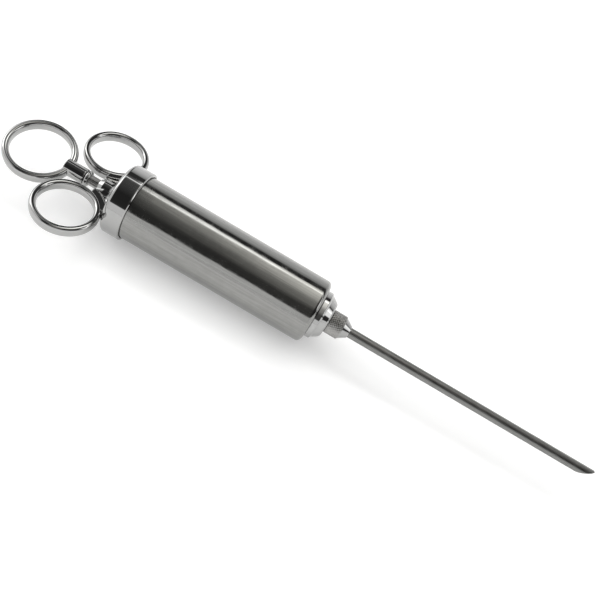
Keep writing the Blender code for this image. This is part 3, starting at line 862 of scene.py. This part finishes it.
# Soft boxes: where each fades in and out along the axis and round it, and its
# level. The first is in front of the backdrop, and the second past the needle
SOFTBOXES = (
    ((-1.02, -1.01), (-0.80, -0.62), (24, 38), (80, 100), 2.5),
    ((0.80, 0.84), (0.965, 1.005), (42, 50), (104, 112), 1.6),
)
FAR_CARD_TOP = (42, 50)            # all and none of the card, in degrees round the axis
WARM_TINT = (("Red", 1.0), ("Green", 0.985), ("Blue", 0.93))


def ramp_node(tree, value, points):
    """Read a level off (position, level) points, the first and last of which are its ends."""
    low, high = points[0][0], points[-1][0]
    scale = max(level for position, level in points)
    ramp = tree.nodes.new("ShaderNodeValToRGB")
    stops = ramp.color_ramp.elements
    for index, (position, level) in enumerate(points):
        spot = (position - low) / (high - low)
        stop = stops[index] if index < 2 else stops.new(spot)
        stop.position = spot
        stop.color = (level / scale, level / scale, level / scale, 1)
    tree.links.new(remap(tree, value, 0.0, 1.0, low, high), ramp.inputs["Fac"])
    return math_node(tree, "MULTIPLY", ramp.outputs["Color"], scale)


def studio_tone(tree):
    """Colour of the studio in a direction: dark cards, soft panels and a pale horizon."""
    place = tree.nodes.new("ShaderNodeTexCoord")
    split = tree.nodes.new("ShaderNodeSeparateXYZ")
    tree.links.new(place.outputs["Generated"], split.inputs["Vector"])
    along = split.outputs["X"]

    def add(first, second):
        return math_node(tree, "ADD", first, second)

    def times(first, second):
        return math_node(tree, "MULTIPLY", first, second)

    def rest(value):
        return math_node(tree, "SUBTRACT", 1.0, value)

    def rise(value, edges):
        return remap(tree, value, 0.0, 1.0, *edges)

    def fall(value, edges):
        return remap(tree, value, 1.0, 0.0, *edges)

    around = times(math_node(tree, "ARCTAN2", split.outputs["Z"], split.outputs["Y"]), math.degrees(1))
    card = times(ramp_node(tree, along, FAR_CARD), fall(around, FAR_CARD_TOP))
    grey = times(ramp_node(tree, around, SKY_BANDS), rest(card))
    *edges, level = BACKDROP
    backdrop = fall(along, edges)
    grey = add(times(grey, rest(backdrop)), times(backdrop, level))
    for along_in, along_out, around_in, around_out, level in SOFTBOXES:
        box = times(rise(along, along_in), fall(along, along_out))
        box = times(box, times(rise(around, around_in), fall(around, around_out)))
        grey = add(grey, times(box, level))
    grey = add(grey, times(ramp_node(tree, around, STRIP_BANDS), ramp_node(tree, along, STRIP_SPAN)))

    panel = times(ramp_node(tree, around, PANEL_BANDS), ramp_node(tree, along, PANEL_SPAN))
    panel = times(panel, rise(along, PANEL_EDGE))
    tone = tree.nodes.new("ShaderNodeCombineColor")
    for channel, share in WARM_TINT:
        tree.links.new(add(grey, times(panel, share)), tone.inputs[channel])
    return tone.outputs["Color"]


def make_world():
    """The studio, where camera rays that pass the floor see plain pale grey."""
    world = bpy.data.worlds.new("studio")
    bpy.context.scene.world = world
    world.use_nodes = True
    tree = world.node_tree
    tree.nodes.clear()
    studio = tree.nodes.new("ShaderNodeBackground")
    tree.links.new(studio_tone(tree), studio.inputs["Color"])
    plain = tree.nodes.new("ShaderNodeBackground")
    plain.inputs["Color"].default_value = (0.9, 0.9, 0.9, 1)
    chooser = tree.nodes.new("ShaderNodeMixShader")
    rays = tree.nodes.new("ShaderNodeLightPath")
    tree.links.new(rays.outputs["Is Camera Ray"], chooser.inputs["Fac"])
    tree.links.new(studio.outputs["Background"], chooser.inputs[1])
    tree.links.new(plain.outputs["Background"], chooser.inputs[2])
    output = tree.nodes.new("ShaderNodeOutputWorld")
    tree.links.new(chooser.outputs["Shader"], output.inputs["Surface"])


def make_studio():
    """Camera, floor, world and light, with plain colours."""
    make_camera()
    make_floor()
    make_world()
    make_overhead_light()
    bpy.context.scene.view_settings.view_transform = "Standard"


make_studio()
make_barrel()
make_nozzle()
make_cap()
make_rod_guide()
make_finger_rings()
make_thumb_ring()
make_stem()
make_collar()
make_rod()
make_piston()
make_small_parts()
make_hub()
make_tube()
